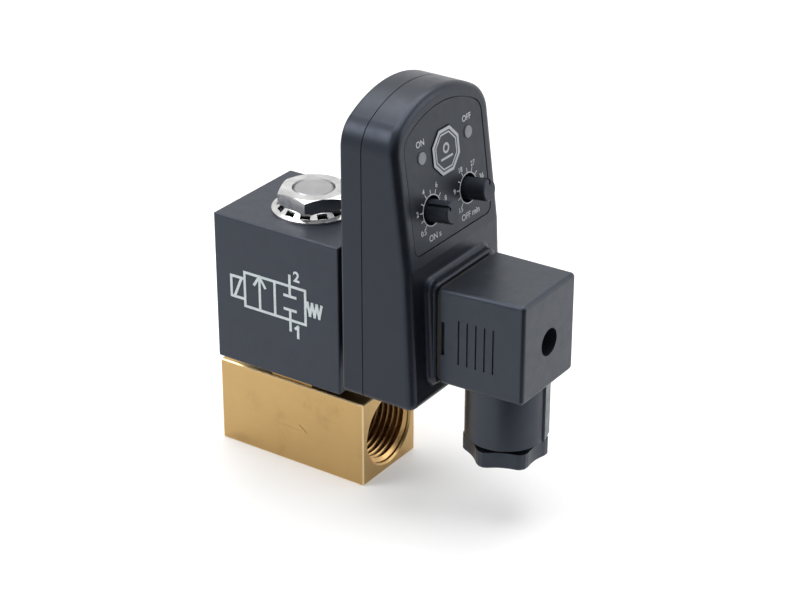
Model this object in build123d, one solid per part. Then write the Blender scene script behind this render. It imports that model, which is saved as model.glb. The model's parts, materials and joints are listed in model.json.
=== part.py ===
from build123d import *
import os
from math import cos, radians, sin, sqrt, tan

# Automatic drain valve: a brass two-way solenoid valve, its coil, a clip-on timer and a
# cable plug. Millimetres. Origin at the centre of the brass body's underside, on the axis of
# the armature tube. +X runs with the flow towards the timer and the plug, +Z is up.

# ---------------------------------------------------------------- clearances
SEAT_GAP = 0.05        # between flat faces of pieces that turn on each other
FIT_GAP = 0.05         # around pieces that are pressed or moulded in
RUN_GAP = 0.1          # around running shafts and threads
LOOSE_GAP = 0.3        # around pieces that pass freely

# ---------------------------------------------------------------- brass body
BODY_LENGTH = 50.0
BODY_WIDTH = 25.6
BODY_HEIGHT = 26.0
BODY_EDGE = 0.3
PORT_RADIUS = 10.48    # major radius of a G1/2 thread
PORT_DEPTH = 14.0
PORT_CHAMFER = 0.5
PORT_Z = 12.8
CAVITY_RADIUS = 8.0
CAVITY_FLOOR_Z = 16.5
SEAT_Z = 18.0
SEAT_RADIUS = 3.6
ORIFICE_RADIUS = 2.25
INLET_DRILL_RADIUS = 1.7
OUTLET_DRILL_RADIUS = 2.6
OUTLET_DRILL_DROP = 5.7   # of its centre, below the cavity floor

# ---------------------------------------------------------------- armature tube
FLANGE_ACROSS_FLATS = 24.0
FLANGE_HEIGHT = 4.2
FLANGE_CHAMFER = 0.6
SPIGOT_LENGTH = 5.6
ORING_WIRE = 0.8
TUBE_RADIUS = 6.75
TUBE_WALL = 0.8
CORE_LENGTH = 22.0
NECK_RADIUS = 6.0
NECK_LENGTH = 4.2
NECK_CHAMFER = 0.8
SHADING_INNER = 3.4
SHADING_OUTER = 4.7
SHADING_DEPTH = 1.6

# ---------------------------------------------------------------- plunger
LIFT = 1.8
PLUNGER_GAP = 0.2      # radial, to the inside of the tube
SEAL_RADIUS = 3.2
SEAL_HEIGHT = 2.0
PLUNGER_NOSE_RADIUS = 4.4
PLUNGER_NOSE_HEIGHT = 2.4
GROOVE_WIDTH = 1.6
GROOVE_DEPTH = 0.8
SPRING_RADIUS = 2.1
SPRING_WIRE = 0.5
SPRING_TURNS = 5
SPRING_BORE_DEPTH = 12.0

# ---------------------------------------------------------------- coil
COIL_BACK = 21.5
COIL_FRONT = 20.8
COIL_WIDTH = 35.6
COIL_HEIGHT = 44.7
COIL_EDGE = 0.6
YOKE_WALL = 3.0
YOKE_HALF_WIDTH = 13.0
YOKE_REACH = 13.0
YOKE_BACK = 18.0
YOKE_SKIN = 2.6        # plastic over and under the yoke
BOBBIN_WALL = 1.0
BOBBIN_FLANGE = 1.2
WINDING_RADIUS = 13.0
PLUG_BOSS = 1.6
PLUG_SIZE = 27.5
PLUG_CORNER = 2.5
PLUG_Z = 55.6          # height of the fixing screw
GASKET_THICKNESS = 1.5
GASKET_WINDOW = 22.6
INSERT_RADIUS = 2.6
INSERT_LENGTH = 6.2
BLADE_WIDTH = 6.3
BLADE_THICKNESS = 0.8
BLADE_OFFSET = 9.0
BLADE_REACH = 10.5     # past the gasket
BLADE_ROOT = 4.0       # inside the moulding

# ---------------------------------------------------------------- coil nut and washer
WASHER_RADIUS = 11.8
WASHER_RISE = 2.6
WASHER_SHEET = 0.6
WASHER_RIM = 1.4
WASHER_CROWN = 8.6     # radius of the dish's top
WASHER_SLOTS = 13
SLOT_INNER = 9.1
SLOT_OUTER = 10.3
SLOT_ANGLE = 17.0
SLOT_START = -68.0
NUT_ACROSS_FLATS = 18.0
NUT_HEIGHT = 3.7
NUT_TURN = -38.0
NUT_BEVEL_ANGLE = 28.0

# ---------------------------------------------------------------- timer
REAR_BOSS = 1.1
TIMER_WIDTH = 45.2
TIMER_BOTTOM = 35.1
TIMER_ARCH_RADIUS = 36.0
TIMER_ARCH_CENTRE = 83.5
TIMER_SHOULDER = 9.0
TIMER_FOOT = 2.0
TIMER_WALL = 2.2
COVER_DEPTH = 6.8      # of the rear cover, up to the seam
KNEE_X = 46.6
KNEE_Z = 76.0
LOWER_SLOPE = 2.6      # degrees, below the knee
PANEL_TILT = 7.33      # degrees, above the knee
FRONT_EDGE = 2.5
REAR_EDGE = 1.0
SEAM_WIDTH = 0.25
SEAM_DEPTH = 0.3
PEDESTAL_FRONT = 50.0
PEDESTAL_WIDTH = 29.6
PEDESTAL_BOTTOM = 41.0
PEDESTAL_TOP = 70.8
PEDESTAL_CORNER = 2.5
PEDESTAL_BLEND = 1.5
PEDESTAL_EDGE = 0.7

# ---------------------------------------------------------------- timer panel
# Panel places are (across, up) from a centre between the knobs, on the tilted face.
PANEL_Z = 89.0
LABEL_WIDTH = 36.4
LABEL_BELOW = 9.9
LABEL_ABOVE = 26.7
LABEL_ARCH_RADIUS = 32.0
LABEL_SHOULDER = 5.0
LABEL_FOOT = 2.2
LABEL_SHEET = 0.5
LABEL_GROOVE = 0.3     # open all round the label
RECESS_DEPTH = 0.6
KNOB_SPREAD = 8.8
KNOB_RADIUS = 3.05
KNOB_PROUD = 6.6
KNOB_SUNK = 3.4
KNOB_HOLE_RADIUS = 4.0
KNOB_EDGE = 0.35
POINTER_WIDTH = 0.8
POINTER_DEPTH = 0.7
POINTER_TURN_ON = 40.0
POINTER_TURN_OFF = -12.0
SHAFT_RADIUS = 1.5
SHAFT_IN_KNOB = 4.0
POT_SIZE = 9.4
POT_HEIGHT = 4.6
LED_SPREAD = 11.0
LED_UP = 15.1
LED_RADIUS = 1.65
LED_PROUD = 0.3        # above the label
BUTTON_UP = 13.6
BUTTON_RADIUS = 6.8
BUTTON_PROUD = 0.25    # above the label
BUTTON_TRAVEL = 0.5
BUTTON_LIP = 1.0
BUTTON_LIP_HEIGHT = 0.8
STEM_RADIUS = 1.6
SWITCH_SIZE = 6.0
SWITCH_HEIGHT = 3.1
BOARD_DEPTH = 9.0
BOARD_THICKNESS = 1.6
BOARD_WIDTH = 35.0
BOARD_BELOW = 13.0
BOARD_ABOVE = 17.0
BOARD_POST = 1.5
BOARD_POST_SPREAD = 15.4
BOARD_POST_UP = 9.6
RELAY_SIZE = (18.0, 11.0, 6.4)
RELAY_UP = -6.0
CAPACITOR_RADIUS = 2.6
CAPACITOR_LENGTH = 9.0
CAPACITOR_UP = 8.5

# ---------------------------------------------------------------- timer joints and sockets
SOCKET_SIZE = 24.0
SOCKET_DEPTH = 12.5
CLIP_WALL = 0.8
CLIP_LENGTH = 6.5
SCREW_INSET_LOW = 5.2  # from the timer's side
SCREW_LOW_Z = 41.0
SCREW_INSET_HIGH = 10.4
SCREW_HIGH_Z = 112.0
SCREW_POST = 2.6
SCREW_SHANK = 1.2
SCREW_HEAD = 2.5
SCREW_HEAD_HEIGHT = 1.5
SCREW_SINK = 1.7
SCREW_LENGTH = 8.0

# ---------------------------------------------------------------- cable plug
HEAD_BASE_WIDTH = 28.4
HEAD_BASE_TOP = 70.0
HEAD_FRONT_WIDTH = 26.2
HEAD_FRONT_TOP = 70.9
HEAD_BOTTOM = 41.8
HEAD_LENGTH = 24.9
HEAD_CORNER = 1.3
HEAD_FRONT_EDGE = 1.2
HEAD_WALL = 2.2
HEAD_GASKET = 1.3
HOLLOW_DEPTH = 15.0
INSERT_DEPTH = 11.5
WELL_RADIUS = 3.9
WELL_DEPTH = 7.6
NOTCH_HEIGHT = 9.8
NOTCH_DEPTH = 1.2
RIB_COUNT = 5
RIB_PITCH = 2.6
RIB_WIDTH = 0.5
RIB_HEIGHT = 13.0
RIB_DEPTH = 0.35
RIB_X = 62.0
BOSS_X = 63.5
BOSS_RADIUS = 11.3
BOSS_BOTTOM = 24.5
BOSS_LEDGE = 0.7
BOSS_LEDGE_TURN = 18.0
GLAND_BORE = 8.6
SEAL_OUTER = 8.3
CABLE_RADIUS = 4.0
SEAL_LENGTH = 6.0
WASHER_PLASTIC = 1.0
GLAND_TOP_GAP = 1.3
GLAND_HEIGHT = 4.9
GLAND_RADIUS = 12.0
GLAND_SCALLOP = 15.0
GLAND_TURN = -34.0
GLAND_LOBE_EDGE = 1.6
GLAND_SPIGOT = 6.5
GLAND_HOLE = 4.6
GLAND_FLARE = 1.2

# ---------------------------------------------------------------- fixing screw
M3_RADIUS = 1.5
FIXING_HEAD_RADIUS = 2.9
FIXING_HEAD_HEIGHT = 2.5
FIXING_WASHER = 0.6
FIXING_GRIP = 5.4      # thread held in the coil

# ---------------------------------------------------------------- derived places
BODY_END = BODY_LENGTH / 2
FLANGE_TOP = BODY_HEIGHT + FLANGE_HEIGHT
COIL_BOTTOM = FLANGE_TOP + SEAT_GAP
COIL_TOP = COIL_BOTTOM + COIL_HEIGHT
COIL_BORE = TUBE_RADIUS + LOOSE_GAP
TUBE_INSIDE = TUBE_RADIUS - TUBE_WALL
TUBE_BOTTOM = BODY_HEIGHT - SPIGOT_LENGTH
TUBE_TOP = COIL_TOP - SEAT_GAP
CORE_FACE = TUBE_TOP - CORE_LENGTH
PLUNGER_BOTTOM = SEAT_Z
PLUNGER_TOP = CORE_FACE - LIFT - SEAT_GAP
PLUNGER_RADIUS = TUBE_INSIDE - PLUNGER_GAP
SPRING_BOTTOM = PLUNGER_TOP - SPRING_BORE_DEPTH
WASHER_BOTTOM = COIL_TOP + SEAT_GAP
NUT_BOTTOM = WASHER_BOTTOM + WASHER_RISE
NUT_BORE = NECK_RADIUS + FIT_GAP
NECK_BOTTOM = NUT_BOTTOM - WASHER_SHEET
NECK_TOP = NECK_BOTTOM + NECK_LENGTH

BOSS_FACE = COIL_FRONT + PLUG_BOSS
REAR_BOSS_FACE = BOSS_FACE + GASKET_THICKNESS
TIMER_BACK = REAR_BOSS_FACE + REAR_BOSS
SEAM_X = TIMER_BACK + COVER_DEPTH
TIMER_TOP = TIMER_ARCH_CENTRE + TIMER_ARCH_RADIUS
HEAD_BASE = PEDESTAL_FRONT + HEAD_GASKET
HEAD_FRONT = HEAD_BASE + HEAD_LENGTH
WELL_FLOOR = HEAD_FRONT - WELL_DEPTH
SCREW_TIP = COIL_FRONT - FIXING_GRIP
SCREW_CLEAR = M3_RADIUS + LOOSE_GAP
YOKE_LOW = COIL_BOTTOM + YOKE_SKIN
YOKE_HIGH = COIL_TOP - YOKE_SKIN
BOBBIN_LOW = YOKE_LOW + YOKE_WALL + FIT_GAP
BOBBIN_HIGH = YOKE_HIGH - YOKE_WALL - FIT_GAP
LABEL_FACE = LABEL_SHEET - RECESS_DEPTH
GLAND_TOP = BOSS_BOTTOM - GLAND_TOP_GAP
SPIGOT_TOP = GLAND_TOP + GLAND_SPIGOT

# The tilted panel: local x runs across (+Y), local y up the face, local z out of it.
PANEL_X = KNEE_X - tan(radians(PANEL_TILT)) * (PANEL_Z - KNEE_Z)
PANEL = Plane(origin=(PANEL_X, 0, PANEL_Z), x_dir=(0, 1, 0),
              z_dir=(cos(radians(PANEL_TILT)), 0, sin(radians(PANEL_TILT))))
# Blade places: two live blades beside the screw, upright, and an earth blade below, level.
BLADE_PLACES = [(-BLADE_OFFSET, 0.0, True), (BLADE_OFFSET, 0.0, True),
                (0.0, -BLADE_OFFSET, False)]


# ---------------------------------------------------------------- small builders
def block(low, high):
    """A box between two opposite corners."""
    size = [b - a for a, b in zip(low, high)]
    centre = [(a + b) / 2 for a, b in zip(low, high)]
    return Pos(*centre) * Box(*size)


def post(radius, low, high, x=0.0, y=0.0):
    """An upright cylinder."""
    return Pos(x, y, (low + high) / 2) * Cylinder(radius, high - low)


def bar(radius, back, front, y=0.0, z=PLUG_Z):
    """A cylinder along X."""
    return Pos((back + front) / 2, y, z) * Rot(0, 90, 0) * Cylinder(radius, front - back)


def facing(x, z=0.0):
    """A plane that faces +X: its local x is +Y and its local y is +Z."""
    return Plane(origin=(x, 0, z), x_dir=(0, 1, 0), z_dir=(1, 0, 0))


def slab(back, front, width, low, high, corner):
    """A rounded rectangle standing across X, between two heights."""
    sketch = RectangleRounded(width, high - low, corner)
    return extrude(facing(back, (low + high) / 2) * sketch, front - back)


def on_panel(shape, across=0.0, up=0.0, out=0.0):
    """Moves a shape built about the origin on to the tilted panel."""
    return PANEL.location * Pos(across, up, out) * shape


def panel_pin(radius, low, high, across=0.0, up=0.0):
    """A cylinder square to the panel, between two depths."""
    return on_panel(Cylinder(radius, high - low), across, up, (low + high) / 2)


def panel_block(size, low, across=0.0, up=0.0):
    """A box square to the panel, standing on depth low."""
    return on_panel(Box(*size), across, up, low + size[2] / 2)


def arch(half_width, bottom, radius, centre, shoulder, foot):
    """A flat outline: straight foot and sides under a bowed top, with rounded corners."""
    spring = centre + sqrt(radius ** 2 - half_width ** 2)
    sides = Polyline((-half_width, spring), (-half_width, bottom),
                     (half_width, bottom), (half_width, spring))
    bow = ThreePointArc((half_width, spring), (0, centre + radius), (-half_width, spring))
    outline = make_face([sides, bow])
    outline = fillet(outline.vertices().group_by(Axis.Y)[-1], shoulder)
    return fillet(outline.vertices().group_by(Axis.Y)[0], foot)


def octagon(radius, height):
    """An octagonal key with level top and bottom edges."""
    return extrude(RegularPolygon(radius, 8, rotation=22.5), height)


def save(name, shape):
    """Writes one sub-part."""
    export_step(shape, "parts/" + name + ".step")


# ---------------------------------------------------------------- brass valve
def valve_body():
    body = block((-BODY_END, -BODY_WIDTH / 2, 0), (BODY_END, BODY_WIDTH / 2, BODY_HEIGHT))
    body = chamfer(body.edges(), BODY_EDGE)
    for side in (-1, 1):
        body -= bar(PORT_RADIUS, *sorted((side * BODY_END, side * (BODY_END - PORT_DEPTH))),
                    z=PORT_Z)
        mouth = Rot(0, side * 90, 0) * Cone(PORT_RADIUS, PORT_RADIUS + PORT_CHAMFER,
                                            PORT_CHAMFER)
        body -= Pos(side * (BODY_END - PORT_CHAMFER / 2), 0, PORT_Z) * mouth
    body -= post(CAVITY_RADIUS + FIT_GAP, CAVITY_FLOOR_Z, BODY_HEIGHT)
    groove = CAVITY_RADIUS + 2 * ORING_WIRE + 2 * FIT_GAP
    body -= post(groove, BODY_HEIGHT - 2 * ORING_WIRE - 2 * FIT_GAP, BODY_HEIGHT)
    body += post(SEAT_RADIUS, CAVITY_FLOOR_Z - BODY_EDGE, SEAT_Z)
    inlet_z = CAVITY_FLOOR_Z + INLET_DRILL_RADIUS + LOOSE_GAP
    body -= bar(INLET_DRILL_RADIUS, PORT_DEPTH - BODY_END - 1, -SEAT_RADIUS - 1, z=inlet_z)
    outlet_z = CAVITY_FLOOR_Z - OUTLET_DRILL_DROP
    drill_end = -ORIFICE_RADIUS - LOOSE_GAP
    body -= bar(OUTLET_DRILL_RADIUS, drill_end, BODY_END - PORT_DEPTH + 1, z=outlet_z)
    return body - post(ORIFICE_RADIUS, outlet_z, SEAT_Z)


def tube_flange():
    hexagon = RegularPolygon(FLANGE_ACROSS_FLATS / 2, 6, major_radius=False)
    flange = Pos(0, 0, BODY_HEIGHT) * extrude(hexagon, FLANGE_HEIGHT)
    corner = FLANGE_ACROSS_FLATS / sqrt(3)
    trim = Pos(0, 0, FLANGE_TOP - FLANGE_CHAMFER / 2) * (
        Cylinder(corner * 1.2, FLANGE_CHAMFER)
        - Cone(corner, corner - FLANGE_CHAMFER * 2, FLANGE_CHAMFER))
    flange -= trim
    flange += post(CAVITY_RADIUS, TUBE_BOTTOM, BODY_HEIGHT)
    return flange - post(TUBE_RADIUS + FIT_GAP, TUBE_BOTTOM, FLANGE_TOP)


def bonnet_oring():
    centre = (CAVITY_RADIUS + ORING_WIRE + FIT_GAP, BODY_HEIGHT - ORING_WIRE - FIT_GAP)
    section = Pos(*centre) * RegularPolygon(ORING_WIRE, 8, rotation=22.5)
    return revolve(Plane.XZ * section, Axis.Z)


def armature_tube():
    return (post(TUBE_RADIUS, TUBE_BOTTOM, NECK_BOTTOM - SEAT_GAP)
            - post(TUBE_INSIDE, TUBE_BOTTOM, NECK_BOTTOM))


def fixed_core():
    core = post(TUBE_INSIDE - FIT_GAP, CORE_FACE, NECK_BOTTOM)
    core += post(NECK_RADIUS, NECK_BOTTOM, NECK_TOP)
    core = chamfer(core.edges().group_by(Axis.Z)[-1], NECK_CHAMFER)
    ring = post(SHADING_OUTER, CORE_FACE, CORE_FACE + SHADING_DEPTH)
    return core - (ring - post(SHADING_INNER, CORE_FACE, CORE_FACE + SHADING_DEPTH))


def shading_ring():
    top = CORE_FACE + SHADING_DEPTH - FIT_GAP
    return (post(SHADING_OUTER - FIT_GAP, CORE_FACE, top)
            - post(SHADING_INNER + FIT_GAP, CORE_FACE, top))


def plunger():
    nose_top = PLUNGER_BOTTOM + PLUNGER_NOSE_HEIGHT
    body = post(PLUNGER_RADIUS, nose_top, PLUNGER_TOP)
    body += post(PLUNGER_NOSE_RADIUS, PLUNGER_BOTTOM + FIT_GAP * 2, nose_top)
    body = chamfer(body.edges().group_by(Axis.Z)[-1], GROOVE_DEPTH / 2)
    body -= post(SEAL_RADIUS, PLUNGER_BOTTOM, PLUNGER_BOTTOM + SEAL_HEIGHT)
    body -= post(SPRING_RADIUS + SPRING_WIRE, SPRING_BOTTOM, PLUNGER_TOP)
    depth = PLUNGER_RADIUS - GROOVE_DEPTH
    for side in (-1, 1):
        low = (min(side * depth, side * TUBE_RADIUS), -GROOVE_WIDTH / 2, nose_top)
        high = (max(side * depth, side * TUBE_RADIUS), GROOVE_WIDTH / 2, PLUNGER_TOP)
        body -= block(low, high)
    return body


def plunger_seal():
    return post(SEAL_RADIUS - FIT_GAP, PLUNGER_BOTTOM, PLUNGER_BOTTOM + SEAL_HEIGHT - FIT_GAP)


def plunger_spring():
    free = CORE_FACE - SPRING_BOTTOM - SPRING_WIRE - 2 * FIT_GAP
    path = Helix(free / SPRING_TURNS, free, SPRING_RADIUS)
    section = Plane(origin=path @ 0, z_dir=path % 0) * RegularPolygon(SPRING_WIRE / 2, 6)
    coil = sweep(section, path=path, is_frenet=True)
    return Pos(0, 0, SPRING_BOTTOM + SPRING_WIRE / 2 + FIT_GAP) * coil


# ---------------------------------------------------------------- coil
def upright_bore():
    return post(COIL_BORE, COIL_BOTTOM - 1, COIL_TOP + 1)


def coil_yoke():
    yoke = block((-YOKE_BACK, -YOKE_HALF_WIDTH, YOKE_LOW),
                 (YOKE_REACH, YOKE_HALF_WIDTH, YOKE_HIGH))
    yoke -= block((-YOKE_BACK + YOKE_WALL, -COIL_WIDTH, YOKE_LOW + YOKE_WALL),
                  (COIL_FRONT, COIL_WIDTH, YOKE_HIGH - YOKE_WALL))
    return yoke - upright_bore()


def coil_bobbin():
    flange = WINDING_RADIUS + BOBBIN_WALL / 2
    bobbin = post(flange, BOBBIN_LOW, BOBBIN_HIGH)
    bobbin -= (post(flange + 1, BOBBIN_LOW + BOBBIN_FLANGE, BOBBIN_HIGH - BOBBIN_FLANGE)
               - post(COIL_BORE + BOBBIN_WALL, BOBBIN_LOW, BOBBIN_HIGH))
    return bobbin - upright_bore()


def coil_winding():
    low = BOBBIN_LOW + BOBBIN_FLANGE + FIT_GAP
    high = BOBBIN_HIGH - BOBBIN_FLANGE - FIT_GAP
    return (post(WINDING_RADIUS, low, high)
            - post(COIL_BORE + BOBBIN_WALL + FIT_GAP, low, high))


def coil_hollow():
    """The space that the moulding leaves for the yoke and the bobbin."""
    low = (-YOKE_BACK - FIT_GAP, -YOKE_HALF_WIDTH - FIT_GAP, YOKE_LOW - FIT_GAP)
    reach = max(YOKE_REACH, WINDING_RADIUS + BOBBIN_WALL / 2) + FIT_GAP
    high = (reach, YOKE_HALF_WIDTH + FIT_GAP, YOKE_HIGH + FIT_GAP)
    drum = post(WINDING_RADIUS + BOBBIN_WALL / 2 + FIT_GAP, BOBBIN_LOW - FIT_GAP,
                BOBBIN_HIGH + FIT_GAP)
    return block(low, high) + drum


def blade(place, back, front, grow=0.0):
    """One flat contact blade along X; grow makes the slot that it stands in."""
    across, up, upright = place
    wide = BLADE_WIDTH / 2 + grow
    thin = BLADE_THICKNESS / 2 + grow
    half_y, half_z = (thin, wide) if upright else (wide, thin)
    z = PLUG_Z + up
    return block((back, across - half_y, z - half_z), (front, across + half_y, z + half_z))


def coil_housing():
    shell = block((-COIL_BACK, -COIL_WIDTH / 2, COIL_BOTTOM),
                  (COIL_FRONT, COIL_WIDTH / 2, COIL_TOP))
    shell = fillet(shell.edges(), COIL_EDGE)
    half = PLUG_SIZE / 2
    shell += slab(COIL_FRONT - COIL_EDGE, BOSS_FACE, PLUG_SIZE, PLUG_Z - half,
                  PLUG_Z + half, PLUG_CORNER)
    shell -= coil_hollow()
    shell -= upright_bore()
    shell -= bar(INSERT_RADIUS + FIT_GAP, COIL_FRONT - INSERT_LENGTH, COIL_FRONT)
    shell -= bar(SCREW_CLEAR, COIL_FRONT - 1, BOSS_FACE)
    for place in BLADE_PLACES:
        shell -= blade(place, COIL_FRONT - BLADE_ROOT, BOSS_FACE, FIT_GAP)
    return shell


def coil_insert():
    back, front = COIL_FRONT - INSERT_LENGTH, COIL_FRONT
    return bar(INSERT_RADIUS, back, front) - bar(M3_RADIUS + RUN_GAP, back, front)


def plug_gasket(back, front, size):
    """A flat square gasket with one window, round the blades."""
    half, window = size / 2, GASKET_WINDOW / 2
    return (slab(back, front, size, PLUG_Z - half, PLUG_Z + half, PLUG_CORNER)
            - slab(back, front, GASKET_WINDOW, PLUG_Z - window, PLUG_Z + window,
                   PLUG_CORNER / 2))


# ---------------------------------------------------------------- coil nut and washer
def lock_washer():
    inner = NECK_RADIUS + RUN_GAP
    low, high = WASHER_BOTTOM, WASHER_BOTTOM + WASHER_RISE
    flat = WASHER_RADIUS - WASHER_RIM
    with_thickness = Polyline(
        (WASHER_RADIUS, low), (WASHER_RADIUS, low + WASHER_SHEET),
        (flat, low + WASHER_SHEET * 1.6), (WASHER_CROWN, high), (inner, high),
        (inner, high - WASHER_SHEET), (WASHER_CROWN - WASHER_SHEET / 2, high - WASHER_SHEET),
        (flat - WASHER_SHEET / 2, low), close=True)
    dish = revolve(Plane.XZ * make_face(with_thickness), Axis.Z)
    arc = SLOT_ANGLE * (SLOT_INNER + SLOT_OUTER) / 2 * radians(1)
    for count in range(WASHER_SLOTS):
        window = Pos((SLOT_INNER + SLOT_OUTER) / 2, 0, (low + high) / 2) * Box(
            SLOT_OUTER - SLOT_INNER, arc, WASHER_RISE * 2)
        dish -= Rot(0, 0, SLOT_START + count * 360 / WASHER_SLOTS) * window
    return dish


def coil_nut():
    hexagon = RegularPolygon(NUT_ACROSS_FLATS / 2, 6, major_radius=False)
    nut = extrude(Rot(0, 0, NUT_TURN + 30) * hexagon, NUT_HEIGHT)
    corner = NUT_ACROSS_FLATS / sqrt(3)
    drop = (corner - NUT_ACROSS_FLATS / 2) * tan(radians(NUT_BEVEL_ANGLE)) * 2
    bevel = Cone(corner + drop / tan(radians(NUT_BEVEL_ANGLE)) / 2,
                 corner - drop / tan(radians(NUT_BEVEL_ANGLE)) / 2, drop)
    keep = post(corner * 2, 0, NUT_HEIGHT - drop)
    keep += Pos(0, 0, NUT_HEIGHT - drop / 2) * bevel
    nut &= keep
    nut -= post(NUT_BORE, 0, NUT_HEIGHT)
    return Pos(0, 0, NUT_BOTTOM) * nut


# ---------------------------------------------------------------- timer
def timer_outline(inset):
    return arch(TIMER_WIDTH / 2 - inset, TIMER_BOTTOM + inset, TIMER_ARCH_RADIUS - inset,
                TIMER_ARCH_CENTRE, TIMER_SHOULDER - inset,
                max(TIMER_FOOT - inset, FIT_GAP * 4))


def timer_solid(inset, back):
    """The timer's outer form, or its hollow when inset by a wall."""
    reach = PEDESTAL_FRONT - back
    block_out = extrude(facing(back) * timer_outline(inset), reach)
    low, high = TIMER_BOTTOM - 1, TIMER_TOP + 1
    low_x = KNEE_X + tan(radians(LOWER_SLOPE)) * (KNEE_Z - low) - inset
    high_x = KNEE_X - tan(radians(PANEL_TILT)) * (high - KNEE_Z) - inset
    side = Polyline((back - 1, low), (low_x, low), (KNEE_X - inset, KNEE_Z),
                    (high_x, high), (back - 1, high), close=True)
    return block_out & extrude(Plane.XZ * make_face(side), TIMER_WIDTH, both=True)


def front_edges(shape):
    """The edges that ring the front faces, without the level line of the knee."""
    ring = shape.edges().filter_by(lambda e: e.center().X > SEAM_X + COVER_DEPTH / 2)
    ring = ring.filter_by(lambda e: abs((e @ 0).Y) > 1 or abs((e @ 1).Y) > 1)
    knee = ring.filter_by(lambda e: abs(e.center().Z - KNEE_Z) < FIT_GAP
                          and abs(e.center().Y) < 1)
    runs = ring.filter_by(lambda e: abs((e @ 0).X - (e @ 1).X) > COVER_DEPTH)
    return ring - knee - runs


def pedestal_root(shape):
    """The edges where the pedestal rises from the lower front face."""
    def at_root(edge):
        middle = edge.center()
        inside = abs(middle.Y) < PEDESTAL_WIDTH / 2 + FIT_GAP
        level = PEDESTAL_BOTTOM - FIT_GAP < middle.Z < PEDESTAL_TOP + FIT_GAP
        forward = KNEE_X < middle.X < PEDESTAL_FRONT - PEDESTAL_EDGE / 2
        across_face = abs((edge @ 0).X - (edge @ 1).X) < PEDESTAL_FRONT - KNEE_X - 1.5
        return inside and level and forward and across_face
    return shape.edges().filter_by(at_root)


def seam_cut():
    ring = timer_solid(0, TIMER_BACK) - timer_solid(SEAM_DEPTH, TIMER_BACK - 1)
    span = block((SEAM_X, -TIMER_WIDTH, 0), (SEAM_X + SEAM_WIDTH, TIMER_WIDTH, TIMER_TOP + 1))
    return ring & span


def cover_screw_places():
    low, high = TIMER_WIDTH / 2 - SCREW_INSET_LOW, TIMER_WIDTH / 2 - SCREW_INSET_HIGH
    return [(-low, SCREW_LOW_Z), (low, SCREW_LOW_Z),
            (-high, SCREW_HIGH_Z), (high, SCREW_HIGH_Z)]


def board_post_places():
    return [(side * BOARD_POST_SPREAD, level * BOARD_POST_UP)
            for side in (-1, 1) for level in (-1, 1)]


def label_sheet(height, grow=0.0):
    outline = arch(LABEL_WIDTH / 2 + grow, -LABEL_BELOW - grow, LABEL_ARCH_RADIUS + grow,
                   LABEL_ABOVE - LABEL_ARCH_RADIUS, LABEL_SHOULDER + grow, LABEL_FOOT + grow)
    return extrude(outline, height)


def panel_holes(low, high, ease):
    """The knob, lamp and key openings between two depths, each eased by a clearance."""
    holes = on_panel(octagon(BUTTON_RADIUS + ease, high - low), 0, BUTTON_UP, low)
    for side in (-1, 1):
        holes += panel_pin(KNOB_HOLE_RADIUS, low, high, side * KNOB_SPREAD)
        holes += panel_pin(LED_RADIUS + ease / 2, low, high, side * LED_SPREAD, LED_UP)
    return holes


def timer_front_cover():
    outer = timer_solid(0, SEAM_X)
    outer = fillet(front_edges(outer), FRONT_EDGE)
    pedestal = slab(SEAM_X, PEDESTAL_FRONT, PEDESTAL_WIDTH, PEDESTAL_BOTTOM, PEDESTAL_TOP,
                    PEDESTAL_CORNER)
    cover = outer + pedestal
    cover = fillet(pedestal_root(cover), PEDESTAL_BLEND)
    cover = fillet(cover.faces().sort_by(Axis.X)[-1].edges(), PEDESTAL_EDGE)
    cover -= timer_solid(TIMER_WALL, SEAM_X - 1)
    for place in cover_screw_places():
        cover += bar(SCREW_POST, SEAM_X, KNEE_X, *place) & outer
        cover -= bar(SCREW_SHANK + FIT_GAP, SEAM_X, SEAM_X + SCREW_LENGTH, *place)
    for across, up in board_post_places():
        cover += panel_pin(BOARD_POST, -BOARD_DEPTH, -RECESS_DEPTH, across, up)
    cover -= on_panel(label_sheet(1, LABEL_GROOVE), 0, 0, -RECESS_DEPTH)
    cover -= panel_holes(-TIMER_WALL * 2, 1, RUN_GAP * 2)
    for place in BLADE_PLACES:
        cover -= blade(place, SEAM_X, PEDESTAL_FRONT, FIT_GAP)
    cover -= bar(SCREW_CLEAR, SEAM_X, PEDESTAL_FRONT)
    return cover - seam_cut()


def timer_back_cover():
    outer = extrude(facing(TIMER_BACK) * timer_outline(0), COVER_DEPTH)
    outer = fillet(outer.faces().sort_by(Axis.X)[0].edges(), REAR_EDGE)
    cover = outer
    cover -= extrude(facing(TIMER_BACK + TIMER_WALL) * timer_outline(TIMER_WALL), COVER_DEPTH)
    half = PLUG_SIZE / 2
    cover += slab(REAR_BOSS_FACE, TIMER_BACK + REAR_EDGE, PLUG_SIZE, PLUG_Z - half,
                  PLUG_Z + half, PLUG_CORNER)
    for place in cover_screw_places():
        cover += bar(SCREW_HEAD + TIMER_WALL, TIMER_BACK + REAR_EDGE, SEAM_X, *place) & outer
        cover -= bar(SCREW_HEAD + RUN_GAP, TIMER_BACK, TIMER_BACK + SCREW_SINK, *place)
        cover -= bar(SCREW_SHANK + RUN_GAP, TIMER_BACK, SEAM_X, *place)
    window = SOCKET_SIZE / 2 + FIT_GAP
    return cover - slab(REAR_BOSS_FACE, SEAM_X, window * 2, PLUG_Z - window,
                        PLUG_Z + window, PLUG_CORNER / 2)


def timer_label():
    sheet = on_panel(label_sheet(LABEL_SHEET), 0, 0, -RECESS_DEPTH)
    return sheet - panel_holes(-1, 1, RUN_GAP * 2)


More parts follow.
